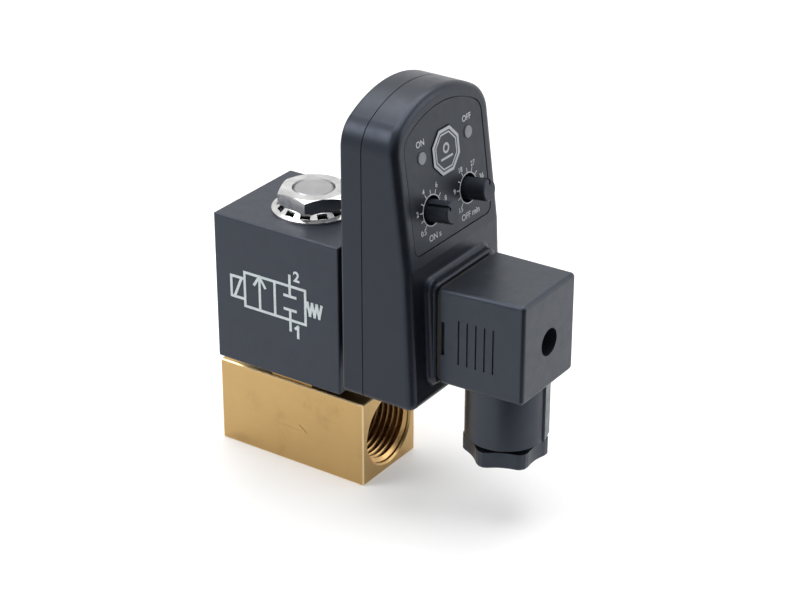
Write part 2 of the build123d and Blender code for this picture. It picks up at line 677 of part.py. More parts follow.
def timer_pcb():
    width, height = BOARD_WIDTH, BOARD_BELOW + BOARD_ABOVE
    middle = (BOARD_ABOVE - BOARD_BELOW) / 2
    return panel_block((width, height, BOARD_THICKNESS), -BOARD_DEPTH - BOARD_THICKNESS,
                       0, middle)


def led(side):
    return panel_pin(LED_RADIUS, -BOARD_DEPTH, LABEL_FACE + LED_PROUD, side * LED_SPREAD,
                     LED_UP)


def potentiometer(side):
    case = panel_block((POT_SIZE, POT_SIZE, POT_HEIGHT), -BOARD_DEPTH, side * KNOB_SPREAD)
    return case - panel_pin(SHAFT_RADIUS + RUN_GAP, 1 - BOARD_DEPTH, 0, side * KNOB_SPREAD)


def knob_shaft(side):
    low = 1 - BOARD_DEPTH + RUN_GAP
    return panel_pin(SHAFT_RADIUS, low, SHAFT_IN_KNOB - KNOB_SUNK, side * KNOB_SPREAD)


def knob(side, turn):
    height = KNOB_PROUD + KNOB_SUNK
    body = Cylinder(KNOB_RADIUS, height)
    body = chamfer(body.edges().group_by(Axis.Z)[-1], KNOB_EDGE)
    reach = KNOB_RADIUS - POINTER_DEPTH / 2
    body -= Pos(0, reach, KNOB_SUNK / 2) * Box(POINTER_WIDTH, POINTER_DEPTH, KNOB_PROUD)
    notch = Pos(0, reach, height / 2) * Box(POINTER_WIDTH, KNOB_RADIUS - POINTER_DEPTH,
                                            POINTER_DEPTH)
    body -= notch
    body -= Pos(0, 0, (SHAFT_IN_KNOB - height) / 2) * Cylinder(SHAFT_RADIUS + FIT_GAP,
                                                               SHAFT_IN_KNOB)
    turned = Rot(0, 0, turn) * body
    return on_panel(turned, side * KNOB_SPREAD, 0, (KNOB_PROUD - KNOB_SUNK) / 2)


def test_switch():
    size = (SWITCH_SIZE, SWITCH_SIZE, SWITCH_HEIGHT)
    return panel_block(size, -BOARD_DEPTH, 0, BUTTON_UP)


def test_button():
    lip_top = -TIMER_WALL - SEAT_GAP
    lip_low = lip_top - BUTTON_LIP_HEIGHT
    stem_low = -BOARD_DEPTH + SWITCH_HEIGHT + BUTTON_TRAVEL + SEAT_GAP
    height = LABEL_FACE + BUTTON_PROUD - lip_low
    key = on_panel(octagon(BUTTON_RADIUS, height), 0, BUTTON_UP, lip_low)
    key += on_panel(octagon(BUTTON_RADIUS + BUTTON_LIP, BUTTON_LIP_HEIGHT), 0, BUTTON_UP,
                    lip_low)
    return key + panel_pin(STEM_RADIUS, stem_low, lip_low, 0, BUTTON_UP)


def timer_relay():
    low = -BOARD_DEPTH - BOARD_THICKNESS - RELAY_SIZE[2]
    return panel_block(RELAY_SIZE, low, 0, RELAY_UP)


def timer_capacitor():
    depth = -BOARD_DEPTH - BOARD_THICKNESS - CAPACITOR_RADIUS
    can = Rot(0, 90, 0) * Cylinder(CAPACITOR_RADIUS, CAPACITOR_LENGTH)
    return on_panel(can, 0, CAPACITOR_UP, depth)


def clip(place, back, grow=0.0):
    """A spring clip round a blade; grow makes the pocket that holds it."""
    solid = blade(place, back, back + CLIP_LENGTH, CLIP_WALL + RUN_GAP + grow)
    if grow:
        return solid
    return solid - blade(place, back, back + CLIP_LENGTH, RUN_GAP)


def socket(back, front, size):
    """A moulded block with blade slots, clip pockets and a hole for the fixing screw."""
    half = size / 2
    body = slab(back, front, size, PLUG_Z - half, PLUG_Z + half, PLUG_CORNER / 2)
    for place in BLADE_PLACES:
        body -= blade(place, back, front, RUN_GAP * 2)
        body -= clip(place, front - CLIP_LENGTH, FIT_GAP)
    return body - bar(SCREW_CLEAR, back, front)


def timer_blades_back():
    return KNEE_X - TIMER_WALL - BLADE_ROOT / 2


def cover_screw(place):
    back = TIMER_BACK + SCREW_SINK
    head = bar(SCREW_HEAD, back - SCREW_HEAD_HEIGHT, back, *place)
    head = chamfer(head.edges().group_by(Axis.X)[0], SCREW_HEAD_HEIGHT / 3)
    return head + bar(SCREW_SHANK, back, SEAM_X + SCREW_LENGTH - FIT_GAP, *place)


# ---------------------------------------------------------------- cable plug
def head_form(inset, length):
    """The plug's tapered form, or its hollow when inset by a wall: a wedge seen from above
    crossed with a wedge seen from the side."""
    share = length / HEAD_LENGTH
    base, front = HEAD_BASE, HEAD_BASE + length
    near = HEAD_BASE_WIDTH / 2 - inset
    far = near + (HEAD_FRONT_WIDTH - HEAD_BASE_WIDTH) / 2 * share
    top = HEAD_BASE_TOP - inset
    far_top = top + (HEAD_FRONT_TOP - HEAD_BASE_TOP) * share
    low = HEAD_BOTTOM + inset
    plan = Polyline((base, -near), (front, -far), (front, far), (base, near), close=True)
    side = Polyline((base, low), (front, low), (front, far_top), (base, top), close=True)
    form = extrude(make_face(plan), HEAD_FRONT_TOP)
    return form & extrude(Plane.XZ * make_face(side), HEAD_BASE_WIDTH, both=True)


def grip_ribs():
    """Shallow upright grooves on both flanks."""
    flank = HEAD_BASE_WIDTH / 2
    slope = (HEAD_BASE_WIDTH - HEAD_FRONT_WIDTH) / 2 / HEAD_LENGTH
    tool = None
    for count in range(RIB_COUNT):
        x = RIB_X + (count - (RIB_COUNT - 1) / 2) * RIB_PITCH
        face = flank - slope * (x - HEAD_BASE)
        for side in (-1, 1):
            groove = Pos(x, side * face, PLUG_Z) * Box(RIB_WIDTH, 2 * RIB_DEPTH, RIB_HEIGHT)
            tool = groove if tool is None else tool + groove
    return tool


def connector_head():
    head = head_form(0, HEAD_LENGTH)
    runs = head.edges().filter_by(lambda e: abs((e @ 0).X - (e @ 1).X) > HEAD_LENGTH / 2)
    head = fillet(runs, HEAD_CORNER)
    head = fillet(head.faces().sort_by(Axis.X)[-1].edges(), HEAD_FRONT_EDGE)
    head += post(BOSS_RADIUS, BOSS_BOTTOM, PLUG_Z, BOSS_X)
    ledge = Pos(BOSS_X, 0, (BOSS_BOTTOM + HEAD_BOTTOM) / 2) * Rot(0, 0, BOSS_LEDGE_TURN) * (
        Pos(BOSS_RADIUS - BOSS_LEDGE, 0, 0) * Box(BOSS_LEDGE * 2.6, BOSS_RADIUS / 2,
                                                  HEAD_BOTTOM - BOSS_BOTTOM))
    head += ledge
    head -= head_form(HEAD_WALL, HOLLOW_DEPTH)
    head -= post(GLAND_BORE, BOSS_BOTTOM, HEAD_BOTTOM + HEAD_WALL + FIT_GAP, BOSS_X)
    head -= bar(WELL_RADIUS, WELL_FLOOR, HEAD_FRONT)
    head -= bar(SCREW_CLEAR, HEAD_BASE, WELL_FLOOR)
    for side in (-1, 1):
        edge = side * HEAD_BASE_WIDTH / 2
        low, high = sorted((edge, edge - side * NOTCH_DEPTH))
        head -= block((HEAD_BASE, low, PLUG_Z - NOTCH_HEIGHT / 2),
                      (HEAD_BASE + NOTCH_DEPTH, high, PLUG_Z + NOTCH_HEIGHT / 2))
    return head - grip_ribs()


def connector_insert():
    share = INSERT_DEPTH / HEAD_LENGTH
    width = HEAD_BASE_WIDTH + (HEAD_FRONT_WIDTH - HEAD_BASE_WIDTH) * share
    half = min(PLUG_Z - HEAD_BOTTOM, width / 2) - HEAD_WALL - FIT_GAP
    return socket(HEAD_BASE, HEAD_BASE + INSERT_DEPTH, 2 * half)


def cable_seal():
    low = SPIGOT_TOP + WASHER_PLASTIC + SEAT_GAP
    return (post(SEAL_OUTER, low, low + SEAL_LENGTH, BOSS_X)
            - post(CABLE_RADIUS, low, low + SEAL_LENGTH, BOSS_X))


def gland_washer():
    low = SPIGOT_TOP + SEAT_GAP
    return (post(SEAL_OUTER, low, low + WASHER_PLASTIC, BOSS_X)
            - post(GLAND_HOLE, low, low + WASHER_PLASTIC, BOSS_X))


def gland_nut():
    hexagon = RegularPolygon(GLAND_RADIUS, 6)
    nut = extrude(hexagon, GLAND_HEIGHT)
    apothem = GLAND_RADIUS * cos(radians(30))
    for count in range(6):
        scallop = Pos(apothem + GLAND_SCALLOP - RUN_GAP * 5, 0, GLAND_HEIGHT / 2) * Cylinder(
            GLAND_SCALLOP, GLAND_HEIGHT * 2)
        nut -= Rot(0, 0, 30 + count * 60) * scallop
    nut &= post(GLAND_RADIUS - RUN_GAP * 4, 0, GLAND_HEIGHT)
    nut = chamfer(nut.edges().group_by(Axis.Z)[0], GLAND_LOBE_EDGE / 4)
    nut += post(GLAND_BORE - LOOSE_GAP, GLAND_HEIGHT, GLAND_HEIGHT + GLAND_SPIGOT)
    nut -= post(GLAND_HOLE, 0, GLAND_HEIGHT + GLAND_SPIGOT)
    nut -= Pos(0, 0, GLAND_FLARE / 2) * Cone(GLAND_HOLE + GLAND_FLARE, GLAND_HOLE, GLAND_FLARE)
    return Pos(BOSS_X, 0, GLAND_TOP - GLAND_HEIGHT) * Rot(0, 0, GLAND_TURN) * nut


def fixing_screw():
    seat = WELL_FLOOR + FIXING_WASHER + SEAT_GAP
    head = bar(FIXING_HEAD_RADIUS, seat, seat + FIXING_HEAD_HEIGHT)
    head = chamfer(head.edges().group_by(Axis.X)[-1], FIXING_WASHER)
    return head + bar(M3_RADIUS, SCREW_TIP, seat)


def screw_washer():
    back, front = WELL_FLOOR, WELL_FLOOR + FIXING_WASHER
    return bar(WELL_RADIUS - LOOSE_GAP, back, front) - bar(SCREW_CLEAR, back, front)


# ---------------------------------------------------------------- all sub-parts
def build_valve():
    save("valve_body", valve_body())
    save("tube_flange", tube_flange())
    save("bonnet_oring", bonnet_oring())
    save("armature_tube", armature_tube())
    save("fixed_core", fixed_core())
    save("shading_ring", shading_ring())
    save("plunger", plunger())
    save("plunger_seal", plunger_seal())
    save("plunger_spring", plunger_spring())
    save("lock_washer", lock_washer())
    save("coil_nut", coil_nut())


def build_coil():
    save("coil_housing", coil_housing())
    save("coil_bobbin", coil_bobbin())
    save("coil_winding", coil_winding())
    save("coil_yoke", coil_yoke())
    save("coil_insert", coil_insert())
    save("coil_gasket", plug_gasket(BOSS_FACE, REAR_BOSS_FACE, PLUG_SIZE))
    reach = REAR_BOSS_FACE + BLADE_REACH
    for count, place in enumerate(BLADE_PLACES, 1):
        save("coil_blade_%d" % count, blade(place, COIL_FRONT - BLADE_ROOT, reach))


def build_timer():
    save("timer_back_cover", timer_back_cover())
    save("timer_front_cover", timer_front_cover())
    save("timer_label", timer_label())
    save("timer_pcb", timer_pcb())
    save("timer_relay", timer_relay())
    save("timer_capacitor", timer_capacitor())
    save("test_switch", test_switch())
    save("test_button", test_button())
    for side, which, turn in ((-1, "on", POINTER_TURN_ON), (1, "off", POINTER_TURN_OFF)):
        save("led_" + which, led(side))
        save("pot_" + which, potentiometer(side))
        save("shaft_" + which, knob_shaft(side))
        save("knob_" + which, knob(side, turn))
    socket_front = REAR_BOSS_FACE + SOCKET_DEPTH
    save("timer_socket", socket(REAR_BOSS_FACE, socket_front, SOCKET_SIZE))
    back = timer_blades_back()
    for count, place in enumerate(BLADE_PLACES, 1):
        save("socket_clip_%d" % count, clip(place, socket_front - CLIP_LENGTH))
        save("timer_blade_%d" % count, blade(place, back, PEDESTAL_FRONT + BLADE_REACH))
    for count, place in enumerate(cover_screw_places(), 1):
        save("cover_screw_%d" % count, cover_screw(place))


def build_plug():
    size = 2 * min(HEAD_BASE_TOP - PLUG_Z, PLUG_Z - HEAD_BOTTOM)
    save("connector_gasket", plug_gasket(PEDESTAL_FRONT, HEAD_BASE, size))
    save("connector_head", connector_head())
    save("connector_insert", connector_insert())
    front = HEAD_BASE + INSERT_DEPTH
    for count, place in enumerate(BLADE_PLACES, 1):
        save("plug_clip_%d" % count, clip(place, front - CLIP_LENGTH))
    save("cable_seal", cable_seal())
    save("gland_washer", gland_washer())
    save("gland_nut", gland_nut())
    save("fixing_screw", fixing_screw())
    save("screw_washer", screw_washer())


os.makedirs("parts", exist_ok=True)
build_valve()
build_coil()
build_timer()
build_plug()
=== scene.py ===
"""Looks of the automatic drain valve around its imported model. Metres."""
import json
from math import atan2, cos, hypot, pi, radians, sin

import bmesh
import bpy
from mathutils import Matrix, Vector

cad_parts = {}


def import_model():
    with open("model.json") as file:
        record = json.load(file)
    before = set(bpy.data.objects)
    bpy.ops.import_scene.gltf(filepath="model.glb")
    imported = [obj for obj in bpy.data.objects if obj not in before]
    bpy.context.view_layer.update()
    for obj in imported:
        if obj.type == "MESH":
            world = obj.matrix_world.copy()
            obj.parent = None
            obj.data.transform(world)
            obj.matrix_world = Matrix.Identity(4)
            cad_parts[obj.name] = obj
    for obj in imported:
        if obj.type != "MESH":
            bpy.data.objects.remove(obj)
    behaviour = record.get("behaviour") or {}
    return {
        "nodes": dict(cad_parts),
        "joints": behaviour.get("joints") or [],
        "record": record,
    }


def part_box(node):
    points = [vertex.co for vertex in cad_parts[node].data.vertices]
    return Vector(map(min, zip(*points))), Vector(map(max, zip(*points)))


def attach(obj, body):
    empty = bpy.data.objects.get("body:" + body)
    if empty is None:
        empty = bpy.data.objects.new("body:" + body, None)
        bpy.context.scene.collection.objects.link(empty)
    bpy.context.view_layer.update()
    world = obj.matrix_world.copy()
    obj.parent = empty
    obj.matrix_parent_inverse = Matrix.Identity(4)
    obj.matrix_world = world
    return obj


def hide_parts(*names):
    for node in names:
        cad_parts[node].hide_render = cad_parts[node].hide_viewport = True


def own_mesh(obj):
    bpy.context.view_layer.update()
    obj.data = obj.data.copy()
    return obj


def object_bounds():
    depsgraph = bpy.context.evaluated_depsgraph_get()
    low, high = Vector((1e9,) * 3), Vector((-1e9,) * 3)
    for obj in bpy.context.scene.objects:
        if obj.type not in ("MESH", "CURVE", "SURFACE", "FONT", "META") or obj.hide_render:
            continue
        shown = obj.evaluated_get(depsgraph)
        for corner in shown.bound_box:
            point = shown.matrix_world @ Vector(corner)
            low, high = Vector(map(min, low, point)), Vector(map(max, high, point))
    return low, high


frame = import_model()
cad_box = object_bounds()

MM = 0.001

# ---------------------------------------------------------------- camera and studio
CAMERA_PLACE = (0.3360, -0.4529, 0.3302)
CAMERA_DIRECTION = (-0.50147, 0.73911, -0.44984)
LENS = 100.53
NEAREST = 0.02
LAMP_AIM = (0.02, 0, 0.05)
LAMPS = (                  # name, place, size, watts
    ("overhead", (-0.05, 0.15, 0.75), (0.7, 0.7), 5.0),
    ("right_side", (0.65, 0.45, 0.40), (0.45, 0.6), 1.6),
    ("left_fill", (-0.48, -0.46, 0.66), (0.45, 0.45), 3.2),
)
FLOOR_SIZE = 6.0
FLOOR_TONE = (0.80, 0.80, 0.80)
FLOOR_GAP = 0.02 * MM      # keeps the floor off the body's own bottom face
FLOOR_GLOW_AND_SHADE = (0.20, 0.62)  # lifts the floor to white, more where the lamps don't reach, less near the object: a painted soft shade round it
FLOOR_SHADE_REACH = (0.25, 1.2)
ROOM_LIGHT = 0.5
FLAG_SIDE = (0.86, -0.46, -0.22)   # towards a dark flag that shapes the reflections; on that side the floor is painted dark in reflections
FLAG_START, FLAG_END = 0.30, 0.80
FLAG_LEVEL = 0.10
FLAG_CORNER = (0.08, -0.06, 0.0)   # where the painted dark reflection of the flag starts on the floor

# ---------------------------------------------------------------- panel print
NUMBER_HEIGHT = 1.45 * MM
WORD_HEIGHT = 1.7 * MM
UNIT_HEIGHT = 1.75 * MM
PRINT_THICKNESS = 0.03 * MM
CAP_SHARE = 0.7            # height of a capital or a number, as a share of the text size
DIAL_RADIUS = 4.2 * MM
DIAL_LINE = 0.28 * MM
TICK_LENGTH = 1.0 * MM
TICK_STEP = 27             # degrees between the ticks of a dial
NUMBER_RADIUS = 6.7 * MM
WORD_ACROSS = 11.0 * MM
WORD_UP = 19.0 * MM
UNIT_ACROSS = 8.6 * MM
UNIT_UP = -7.35 * MM
DIAL_TURNS = (135, 81, 27, -27, -81, -135)   # where the numbers stand, in degrees
RING_CORNERS = 48
ON_NUMBERS = ("0.5", "2", "4", "6", "8", "10")
OFF_NUMBERS = ("0.5", "9", "18", "27", "36", "45")

STROKE_WEIGHT = 0.05 * MM  # added to the strokes of letters and numbers
LETTER_STEPS = 4           # steps in a letter's curves

# ---------------------------------------------------------------- key print
KEY_OUTER, KEY_OUTER_LINE = 6.2 * MM, 0.9 * MM
KEY_INNER, KEY_INNER_LINE = 5.07 * MM, 0.45 * MM
KEY_SIDES = 8
PRESS_RING, PRESS_LINE = 1.15 * MM, 0.6 * MM
PRESS_RING_UP, PRESS_BAR_UP = 0.75 * MM, -1.9 * MM
PRESS_BAR_HALF = 2.5 * MM
PRESS_RING_CORNERS = 32

# ---------------------------------------------------------------- coil print, flow arrow
SYMBOL_LINE = 0.8 * MM
SYMBOL_UNIT = 5.2 * MM     # side of half a box of the symbol
SYMBOL_SHIFT = (-0.8 * MM, 1.5 * MM)
SYMBOL_NUMBER = 3.0 * MM
SYMBOL_NUMBER_WEIGHT = 0.25 * MM
CROSSING_RISE = 0.1        # how much thicker each stroke is than the one before
ARROW_LINE, ARROW_RISE = 0.5 * MM, 0.09 * MM
ARROW_TIP = 5.0 * MM
ARROW_BARB = (2.8 * MM, 1.7 * MM)
ARROW_LEVEL = 0.42         # as a share of the body's height

# ---------------------------------------------------------------- threads
THREAD_PITCH = 1.814 * MM
THREAD_MAJOR = 10.46 * MM
THREAD_DEPTH = 1.1 * MM
THREAD_TURNS = 7
THREAD_START = 0.35 * MM
THREAD_STEPS = 72          # steps in a turn
THREAD_ROOT = 0.96         # share of the pitch that the ridge's foot covers
THREAD_CREST = 0.2         # share of the foot's width that is left at the crest
WELD = 0.001 * MM

# ---------------------------------------------------------------- plunger spring
SPRING_WIRE = 0.5 * MM
SPRING_TURNS = 5
SPRING_STEPS = 36          # steps in a turn
WIRE_CORNERS = 10
WOUND_ANGLE = 40           # degrees; sharper edges of threads and spring stay sharp


# ---------------------------------------------------------------- modelling helpers
def clear():
    """Leaves edit mode and deselects every object."""
    if bpy.context.object and bpy.context.object.mode != "OBJECT":
        bpy.ops.object.mode_set(mode="OBJECT")
    bpy.ops.object.select_all(action="DESELECT")


def begin(name, add, **settings):
    """Adds a primitive as a new piece and opens it in edit mode, all selected."""
    clear()
    add(**settings)
    piece = bpy.context.object
    piece.name = piece.data.name = name
    bpy.ops.object.mode_set(mode="EDIT")
    return piece


def pick_verts(piece, test):
    """Selects the vertices whose place passes the test."""
    bpy.ops.mesh.select_mode(type="VERT")
    bpy.ops.mesh.select_all(action="DESELECT")
    mesh = bmesh.from_edit_mesh(piece.data)
    for vert in mesh.verts:
        vert.select_set(test(vert.co))
    mesh.select_flush(True)
    bmesh.update_edit_mesh(piece.data)


def select_only(piece):
    clear()
    piece.select_set(True)
    bpy.context.view_layer.objects.active = piece


def apply_place(piece, matrix):
    """Puts a piece at a place and moves that place into its mesh."""
    select_only(piece)
    piece.matrix_world = matrix
    bpy.ops.object.transform_apply(location=True, rotation=True, scale=True)


def apply_modifiers(piece):
    select_only(piece)
    for modifier in list(piece.modifiers):
        bpy.ops.object.modifier_apply(modifier=modifier.name)


def joined(name, pieces):
    """Makes one piece of several."""
    clear()
    for piece in pieces:
        piece.select_set(True)
    bpy.context.view_layer.objects.active = pieces[0]
    bpy.ops.object.join()
    piece = bpy.context.object
    piece.name = piece.data.name = name
    return piece


def wound(piece, rise, turns, steps):
    """Winds a profile round the upright axis; rise is the height of one turn."""
    winder = piece.modifiers.new("wind", "SCREW")
    winder.axis = "Z"
    winder.screw_offset = rise
    winder.iterations = turns
    winder.steps = winder.render_steps = steps
    return winder


def soften(piece, angle):
    """Smooth shading, with edges kept sharp above an angle in degrees."""
    select_only(piece)
    bpy.ops.object.shade_smooth_by_angle(angle=radians(angle))


def dress(piece, body, material):
    """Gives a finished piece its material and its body."""
    piece.data.materials.clear()
    piece.data.materials.append(material)
    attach(piece, body)
    return piece


# ---------------------------------------------------------------- material helpers
RINGS_PER_UNIT = 0.31      # scale at which the wave texture draws one ring a metre


class Recipe:
    """A node material under construction."""

    def __init__(self, name):
        self.material = bpy.data.materials.new(name)
        self.material.use_nodes = True
        self.nodes = self.material.node_tree.nodes
        self.links = self.material.node_tree.links
        self.shader = self.nodes["Principled BSDF"]
        self.place = self.nodes.new("ShaderNodeTexCoord").outputs["Object"]
        self.height = None

    def node(self, kind, **inputs):
        node = self.nodes.new(kind)
        for key, value in inputs.items():
            node.inputs[key.replace("_", " ")].default_value = value
        return node

    def stretched(self, scale, centre=(0, 0, 0), turn=(0, 0, 0)):
        """The object's coordinates, centred, turned and stretched."""
        mapping = self.nodes.new("ShaderNodeMapping")
        mapping.inputs["Location"].default_value = [-c * s for c, s in zip(centre, scale)]
        mapping.inputs["Rotation"].default_value = turn
        mapping.inputs["Scale"].default_value = scale
        self.links.new(self.place, mapping.inputs["Vector"])
        return mapping.outputs["Vector"]

    def noise(self, scale, detail=2.0, rough=0.5, vector=None, warp=0.0):
        node = self.node("ShaderNodeTexNoise", Scale=scale, Detail=detail,
                         Roughness=rough, Distortion=warp)
        self.links.new(vector or self.place, node.inputs["Vector"])
        return node.outputs["Fac"]

    def ramp(self, factor, stops):
        """Colours spread along a factor: stops are (position, colour)."""
        node = self.nodes.new("ShaderNodeValToRGB")
        elements = node.color_ramp.elements
        while len(elements) < len(stops):
            elements.new(0.5)
        for element, (position, colour) in zip(elements, stops):
            element.position = position
            element.color = (*colour, 1)
        self.links.new(factor, node.inputs["Fac"])
        return node.outputs["Color"]

    def spread(self, factor, low, high, start=0.3, end=0.7):
        """A number that runs from low to high as the factor goes from start to end."""
        node = self.node("ShaderNodeMapRange", From_Min=start, From_Max=end, To_Min=low,
                         To_Max=high)
        self.links.new(factor, node.inputs["Value"])
        return node.outputs["Result"]

    def colour(self, factor, *stops):
        self.links.new(self.ramp(factor, stops), self.shader.inputs["Base Color"])

    def roughness(self, factor, low, high):
        self.links.new(self.spread(factor, low, high), self.shader.inputs["Roughness"])

    def bump(self, factor, distance, strength=1.0):
        """Adds a layer of bump over the earlier ones."""
        node = self.node("ShaderNodeBump", Strength=strength, Distance=distance)
        self.links.new(factor, node.inputs["Height"])
        if self.height:
            self.links.new(self.height, node.inputs["Normal"])
        self.height = node.outputs["Normal"]
        self.links.new(self.height, self.shader.inputs["Normal"])

    def set(self, **inputs):
        for key, value in inputs.items():
            self.shader.inputs[key.replace("_", " ")].default_value = value
        return self


def combined(nodes, links, operation, *outputs):
    """Several outputs run one after another through one kind of math node."""
    total = outputs[0]
    for output in outputs[1:]:
        node = nodes.new("ShaderNodeMath")
        node.operation = operation
        links.new(total, node.inputs[0])
        links.new(output, node.inputs[1])
        total = node.outputs[0]
    return total


def shade(colour, factor):
    return tuple(min(1.0, c * factor) for c in colour)


def moulded(name, colour, roughness, grain=0.25 * MM, depth=0.012 * MM, mottle=0.12,
            tint=(1.0, 1.0, 1.0), gloss=0.5):
    """Injection-moulded plastic: fine spark texture, faint flow mottle, uneven gloss."""
    recipe = Recipe(name)
    recipe.set(Specular_Tint=(*tint, 1), Specular_IOR_Level=gloss)
    flow = recipe.noise(70, 4, 0.6)
    recipe.colour(flow, (0.3, shade(colour, 1 - mottle)), (0.7, shade(colour, 1 + mottle)))
    haze = recipe.noise(320, 6, 0.65)
    recipe.roughness(haze, roughness - 0.05, roughness + 0.07)
    spark = recipe.noise(1 / grain, 3, 0.6)
    recipe.bump(spark, depth, 0.6)
    sink = recipe.noise(90, 2, 0.5)
    recipe.bump(sink, 0.05 * MM, 0.25)
    return recipe.material


def machined(name, colour, dark, roughness, lines, depth=0.006 * MM, turn=(0, 0, 0)):
    """Cut metal: fine tool lines along one direction, a faint stain and dull specks."""
    recipe = Recipe(name)
    recipe.set(Metallic=1.0)
    tool = recipe.noise(1.0, 4, 0.7, recipe.stretched(lines, turn=turn))
    stain = recipe.noise(85, 5, 0.62, warp=0.4)
    recipe.colour(stain, (0.25, dark), (0.45, colour), (0.8, shade(colour, 1.06)))
    recipe.roughness(tool, roughness - 0.06, roughness + 0.1)
    recipe.bump(tool, depth, 0.7)
    specks = recipe.noise(1400, 3, 0.6)
    recipe.bump(specks, 0.004 * MM, 0.5)
    return recipe


def milled_block(name, colour, dark, roughness, lines, box):
    """Milled bar stock whose edges are painted brighter than its faces: a painted
    highlight along the edges.
    """
    recipe = machined(name, colour, dark, roughness, lines)
    low, high = box
    nodes, links = recipe.nodes, recipe.links
    around = nodes.new("ShaderNodeVectorMath")
    around.operation = "ABSOLUTE"
    links.new(recipe.stretched((1, 1, 1), (low + high) / 2), around.inputs[0])
    inside = nodes.new("ShaderNodeVectorMath")
    inside.operation = "SUBTRACT"
    inside.inputs[0].default_value = (high - low) / 2
    links.new(around.outputs["Vector"], inside.inputs[1])
    split = nodes.new("ShaderNodeSeparateXYZ")
    links.new(inside.outputs["Vector"], split.inputs[0])
    x, y, z = split.outputs
    nearer = combined(nodes, links, "MINIMUM", x, y)
    further = combined(nodes, links, "MAXIMUM", x, y)
    middle = combined(nodes, links, "MAXIMUM", nearer,
                      combined(nodes, links, "MINIMUM", further, z))
    # painted highlight: the colour turns brighter within reach of the body's edges
    painted_edge_highlight = recipe.spread(middle, EDGE_HIGHLIGHT_SHARE, 0.0, EDGE_HIGHLIGHT_REACH / 3, EDGE_HIGHLIGHT_REACH)
    shader_colour = recipe.shader.inputs["Base Color"]
    mix = nodes.new("ShaderNodeMixRGB")
    links.new(painted_edge_highlight, mix.inputs["Fac"])
    links.new(shader_colour.links[0].from_socket, mix.inputs["Color1"])
    mix.inputs["Color2"].default_value = (*BRASS_EDGE_HIGHLIGHT, 1)
    links.new(mix.outputs["Color"], shader_colour)
    return recipe


def turned(name, colour, roughness, pitch, depth, centre=(0, 0, 0), axis="Z"):
    """Lathe-turned metal: fine rings round an axis."""
    recipe = Recipe(name)
    recipe.set(Metallic=1.0)
    rings = recipe.node("ShaderNodeTexWave", Scale=1.0, Distortion=0.3, Detail=2.0)
    rings.wave_type = "RINGS"
    rings.rings_direction = axis
    scale = (RINGS_PER_UNIT / pitch,) * 3
    recipe.links.new(recipe.stretched(scale, centre), rings.inputs["Vector"])
    haze = recipe.noise(160, 5, 0.6)
    recipe.colour(haze, (0.3, shade(colour, 0.9)), (0.7, colour))
    recipe.roughness(haze, roughness - 0.03, roughness + 0.07)
    recipe.bump(rings.outputs["Fac"], depth, 0.5)
    return recipe.material


def plated(name, colour, roughness, ripple=0.02 * MM):
    """Bright plating over stamped steel: soft ripple, tiny pits, uneven gloss."""
    recipe = Recipe(name)
    recipe.set(Metallic=1.0)
    haze = recipe.noise(240, 5, 0.6)
    recipe.colour(haze, (0.3, shade(colour, 0.78)), (0.65, shade(colour, 1.06)))
    recipe.roughness(haze, roughness, roughness + 0.12)
    waves = recipe.noise(260, 2, 0.5)
    recipe.bump(waves, ripple, 0.35)
    pits = recipe.noise(2600, 3, 0.6)
    recipe.bump(pits, 0.004 * MM, 0.4)
    return recipe.material


def printed(name, colour, roughness=0.5):
    """Pad-printed ink: slightly uneven cover."""
    recipe = Recipe(name)
    cover = recipe.noise(1500, 4, 0.6)
    recipe.colour(cover, (0.25, shade(colour, 0.8)), (0.6, colour))
    haze = recipe.noise(900, 3, 0.5)
    recipe.roughness(haze, roughness - 0.08, roughness + 0.08)
    grain = recipe.noise(3000, 3, 0.6)
    recipe.bump(grain, 0.006 * MM, 0.5)
    return recipe.material


def rubber(name, colour):
    """Matt rubber with a coarse grain."""
    return moulded(name, colour, 0.72, 0.15 * MM, 0.02 * MM, 0.2)


def winding(name, colour):
    """Enamelled wire, turn beside turn."""
    recipe = Recipe(name)
    recipe.set(Metallic=1.0)
    turns = recipe.node("ShaderNodeTexWave", Scale=1.0)
    turns.bands_direction = "Z"
    recipe.links.new(recipe.stretched((1, 1, 1000)), turns.inputs["Vector"])
    enamel = recipe.noise(300, 4)
    recipe.colour(enamel, (0.3, shade(colour, 0.75)), (0.7, colour))
    haze = recipe.noise(500, 3)
    recipe.roughness(haze, 0.22, 0.38)
    recipe.bump(turns.outputs["Fac"], 0.1 * MM, 0.8)
    return recipe.material


def lens(name, colour):
    """Frosted lamp lens."""
    recipe = Recipe(name)
    recipe.set(Transmission_Weight=0.15, IOR=1.5)
    cloud = recipe.noise(1100, 4, 0.6)
    recipe.colour(cloud, (0.3, shade(colour, 0.8)), (0.7, colour))
    haze = recipe.noise(700, 3)
    recipe.roughness(haze, 0.38, 0.52)
    frost = recipe.noise(2500, 3)
    recipe.bump(frost, 0.01 * MM, 0.5)
    return recipe.material


def board(name, colour):
    """Solder mask over copper, lighter where tracks run under it."""
    recipe = Recipe(name)
    tracks = recipe.node("ShaderNodeTexBrick", Scale=250.0)
    recipe.links.new(recipe.place, tracks.inputs["Vector"])
    recipe.colour(tracks.outputs["Fac"], (0.2, colour), (0.8, shade(colour, 1.7)))
    recipe.roughness(recipe.noise(800, 3), 0.28, 0.42)
    recipe.bump(tracks.outputs["Fac"], 0.04 * MM, 0.5)
    return recipe.material


BRASS = (0.48, 0.32, 0.135)
BRASS_DARK = (0.38, 0.245, 0.10)
# painted highlight on the brass body's edges: its colour, its strength and how far in it
# reaches
BRASS_EDGE_HIGHLIGHT = (0.86, 0.70, 0.42)
EDGE_HIGHLIGHT_SHARE, EDGE_HIGHLIGHT_REACH = 0.85, 0.5 * MM
BLACK_GLOSS, TIMER_GLOSS, FILM_GLOSS = 0.59, 0.45, 0.42
COOL = (0.70, 0.80, 1.0)   # the faint blue of the sheen on black plastic
NICKEL = (0.66, 0.66, 0.655)

